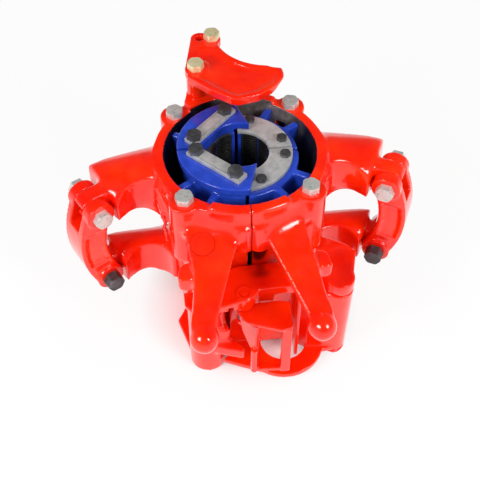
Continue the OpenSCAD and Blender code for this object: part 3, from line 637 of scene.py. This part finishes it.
def clear_of_pivot(p):
    """Keeps a link block's outer faces clear of the pivot bolt's head and nut as it swings."""
    c, s = math.cos(EAR_TURN), math.sin(EAR_TURN)
    x = np.abs(p[:, 0])
    outward = (x - EAR_X) * c - (p[:, 1] - EAR_Y) * s
    along = (EAR_X - x) * s - (p[:, 1] - EAR_Y) * c
    at_pivot = np.hypot(outward, p[:, 2] - LINK_LOW_Z) < PIVOT_HEAD_R
    face = at_pivot & (np.abs(along) > LINK_W / 2 - FACE_DEPTH)
    along = np.where(face, along - np.sign(along) * ROOM, along)
    x = EAR_X + outward * c - along * s
    return np.stack([np.sign(p[:, 0]) * x, EAR_Y - outward * s - along * c, p[:, 2]], 1)


HALVES = ("body_left", "body_right")
SLIP_TURNS = {"slip_fl": 225, "slip_rl": 135, "slip_fr": 315, "slip_rr": 45}

for half in HALVES:
    cast = casting(half, voxel=2.4, fill=50, relax=6, materials=(RED, BOWL), hold=near_bowl,
                   roots=cast_roots, root_fill=110, blunt=horn_corners, blunting=45)
    bare_bowl(cast.data)
    close_seam(cast.data)
casting("latch", voxel=1.6, fill=22, relax=5, materials=(RED,))
for block in ("link_block_left", "link_block_right"):
    casting(block, voxel=1.6, fill=22, relax=5, materials=(RED,), clear=clear_of_pivot)
casting("stop_plate", voxel=1.6, fill=40, relax=6, materials=(RED,), blunt=plate_tip, blunting=170)
casting("latch_lock", voxel=1.2, fill=16, relax=4, materials=(RED,))
for slip, turn in SLIP_TURNS.items():
    casting(slip, voxel=1.6, fill=18, relax=5, materials=(BLUE,), clear=clear_of_guide(turn))


# Dies: each block has rows of upward teeth on its gripping face, between plain margins

DIE_H = (DIE_TOP - DIE_Z0 - (DIE_COUNT - 1) * DIE_GAP) / DIE_COUNT
DIE_STEPS = 10
DIE_SWEEP = 45 - DIE_SIDE_A - DIE_MID_A - 2 * DIE_PLAY_A
MARGIN_H = 1.5
MARGIN_DEPTH = 1.6
MARGIN_STEP = 0.1
TOOTH_ROWS = 11
TOOTH_DEPTH = 1.5
TOOTH_FOOT = 0.05
TOOTH_RISE, TOOTH_LAND = 0.72, 0.86


def die_outline():
    """Radius and height of the points round one die block's section."""
    pitch = (DIE_H - 2 * MARGIN_H) / TOOTH_ROWS
    margin, back, edge = PIPE_R + MARGIN_DEPTH, PIPE_R + DIE_T, MARGIN_H - MARGIN_STEP
    outline = [(margin, 0.0), (margin, edge)]
    for i in range(TOOTH_ROWS):
        z = MARGIN_H + i * pitch
        outline.append((PIPE_R + TOOTH_DEPTH, z + TOOTH_FOOT))
        outline.append((PIPE_R, z + pitch * TOOTH_RISE))
        outline.append((PIPE_R, z + pitch * TOOTH_LAND))
    return outline + [(margin, DIE_H - edge), (margin, DIE_H), (back, DIE_H), (back, 0.0)]


def die_block(start, z0):
    """Points and faces of one die block, swept from a start angle at a height."""
    outline = die_outline()
    n = len(outline)
    points, faces = [], []
    for k in range(DIE_STEPS + 1):
        a = math.radians(start + DIE_SWEEP * k / DIE_STEPS)
        points += [(r * math.cos(a) * MM, r * math.sin(a) * MM, (z0 + z) * MM) for r, z in outline]
    for k in range(DIE_STEPS):
        here, there = k * n, (k + 1) * n
        for i in range(n):
            j = (i + 1) % n
            faces.append((here + i, here + j, there + j, there + i))
    faces.append(tuple(reversed(range(n))))
    faces.append(tuple(range(DIE_STEPS * n, (DIE_STEPS + 1) * n)))
    return points, faces


def toothed_dies(corner, turn):
    """The two columns of die blocks in one slip, which stand for its CAD dies."""
    points, faces = [], []
    for start in (turn + DIE_SIDE_A + DIE_PLAY_A, turn + 45 + DIE_MID_A + DIE_PLAY_A):
        for level in range(DIE_COUNT):
            block_points, block_faces = die_block(start, DIE_Z0 + level * (DIE_H + DIE_GAP))
            faces += [tuple(len(points) + i for i in face) for face in block_faces]
            points += block_points
    mesh = bpy.data.meshes.new("toothed_dies_" + corner)
    mesh.from_pydata(points, [], faces)
    mesh.validate()
    mesh.update()
    obj = new_object("toothed_dies_" + corner, mesh)
    dress(obj, OILED)
    node = "dies_" + corner
    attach(obj, body_of_node[node])
    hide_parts(node)


for corner, turn in (("rr", 0), ("rl", 90), ("fl", 180), ("fr", 270)):
    toothed_dies(corner, turn)


# Floor and light, in metres and watts

FLOOR_HALF = 6.0
FLOOR_Z = -0.0005
FLOOR_TONES = [(0.3, (0.90, 0.90, 0.90)), (0.7, (0.93, 0.93, 0.93))]
FLOOR_WHITE = 0.86
SHADOW_CENTRE = (0.01, -0.05, 0.0)
SHADOW_R, WHITE_R = 0.12, 0.22
LAMP_AIM = (0, 0, 0.2)
LAMP_SIDE = 0.75
SKY_LIGHT = 0.62
SKY_LEVELS = [(0.0, 1.0), (0.06, 0.6), (0.2, 0.18), (0.6, 0.06), (0.9, 0.02)]
DIRECT_RAYS = ("Is Camera Ray", "Is Glossy Ray", "Is Transmission Ray")


def seen_directly(tree):
    """A socket that is 1 for the camera and in reflections, and 0 for the light that falls on the object."""
    path = tree.nodes.new("ShaderNodeLightPath")
    total = path.outputs[DIRECT_RAYS[0]]
    for ray in DIRECT_RAYS[1:]:
        larger = tree.nodes.new("ShaderNodeMath")
        larger.operation = "MAXIMUM"
        tree.links.new(total, larger.inputs[0])
        tree.links.new(path.outputs[ray], larger.inputs[1])
        total = larger.outputs[0]
    return total


def pale_surface(name):
    """A floor that looks white to the camera and in reflections, and keeps the object's shadow."""
    s = Shader(name)
    s.set(Base_Color=s.ramp(s.noise(400, detail=2), FLOOR_TONES), Roughness=0.8)
    glow = s.add("ShaderNodeEmission")
    blend = s.add("ShaderNodeMixShader")
    reach = s.add("ShaderNodeVectorMath", operation="DISTANCE")
    reach.inputs[1].default_value = SHADOW_CENTRE
    s.link(s.coords, reach.inputs[0])
    white = s.grey(reach.outputs["Value"], 0.0, FLOOR_WHITE, start=SHADOW_R, end=WHITE_R)
    factor = s.add("ShaderNodeMath", operation="MULTIPLY")
    s.link(seen_directly(s.tree), factor.inputs[0])
    s.link(white, factor.inputs[1])
    s.link(factor.outputs["Value"], blend.inputs["Fac"])
    s.link(s.bsdf.outputs["BSDF"], blend.inputs[1])
    s.link(glow.outputs["Emission"], blend.inputs[2])
    s.link(blend.outputs["Shader"], s.tree.nodes["Material Output"].inputs["Surface"])
    return s.material


def soft_box(name, place, watts):
    """A square area lamp at a place, facing the object."""
    data = bpy.data.lights.new(name, "AREA")
    data.shape = "SQUARE"
    data.size = LAMP_SIDE
    data.energy = watts
    lamp = new_object(name, data)
    lamp.location = place
    lamp.rotation_euler = (Vector(LAMP_AIM) - Vector(place)).to_track_quat("-Z", "Y").to_euler()


def studio_sky():
    """A white room with a dark ceiling to the camera and in reflections, and even light on the object."""
    world = bpy.data.worlds.new("studio")
    bpy.context.scene.world = world
    world.use_nodes = True
    tree = world.node_tree
    shade = tree.nodes["Background"]
    shade.inputs["Color"].default_value = (1, 1, 1, 1)
    coords = tree.nodes.new("ShaderNodeTexCoord")
    split = tree.nodes.new("ShaderNodeSeparateXYZ")
    tree.links.new(coords.outputs["Generated"], split.inputs["Vector"])
    ceiling = tree.nodes.new("ShaderNodeValToRGB")
    set_stops(ceiling.color_ramp, [(height, (level,) * 3) for height, level in SKY_LEVELS])
    tree.links.new(split.outputs["Z"], ceiling.inputs["Fac"])
    room = tree.nodes.new("ShaderNodeMix")
    room.data_type = "FLOAT"
    room.inputs["A"].default_value = SKY_LIGHT
    tree.links.new(seen_directly(tree), room.inputs["Factor"])
    tree.links.new(ceiling.outputs["Color"], room.inputs["B"])
    tree.links.new(room.outputs["Result"], shade.inputs["Strength"])


floor_mesh = bpy.data.meshes.new("floor")
floor_corners = [(x * FLOOR_HALF, y * FLOOR_HALF, FLOOR_Z) for x, y in ((-1, -1), (1, -1), (1, 1), (-1, 1))]
floor_mesh.from_pydata(floor_corners, [], [(0, 1, 2, 3)])
floor = new_object("floor", floor_mesh)
dress(floor, pale_surface("pale_floor"))
soft_box("key_left", (-1.75, -1.25, 1.75), 35)
soft_box("key_right", (1.35, -1.65, 1.75), 31)
studio_sky()


# Camera: the viewing angle, distance and lens that put the solids over the photograph

AZIMUTH = math.radians(-7.23)
ELEVATION = math.radians(46.53)
DISTANCE = 1.596
CAMERA_AIM = Vector((0, 0, 0.290))
FOCAL_PX, CENTRE_Y_PX, FRAME_PX = 873.6, 182.3, 480
SENSOR_MM = 36

level = math.cos(ELEVATION)
back = Vector((math.sin(AZIMUTH) * level, -math.cos(AZIMUTH) * level, math.sin(ELEVATION)))
lens = bpy.data.cameras.new("camera")
lens.sensor_fit = "HORIZONTAL"
lens.sensor_width = SENSOR_MM
lens.lens = SENSOR_MM * FOCAL_PX / FRAME_PX
lens.shift_y = (CENTRE_Y_PX - FRAME_PX / 2) / FRAME_PX
lens.clip_end = 50
camera = new_object("camera", lens)
camera.location = CAMERA_AIM + back * DISTANCE
camera.rotation_euler = (-back).to_track_quat("-Z", "Y").to_euler()
bpy.context.scene.camera = camera

bpy.context.scene.view_settings.view_transform = "Standard"
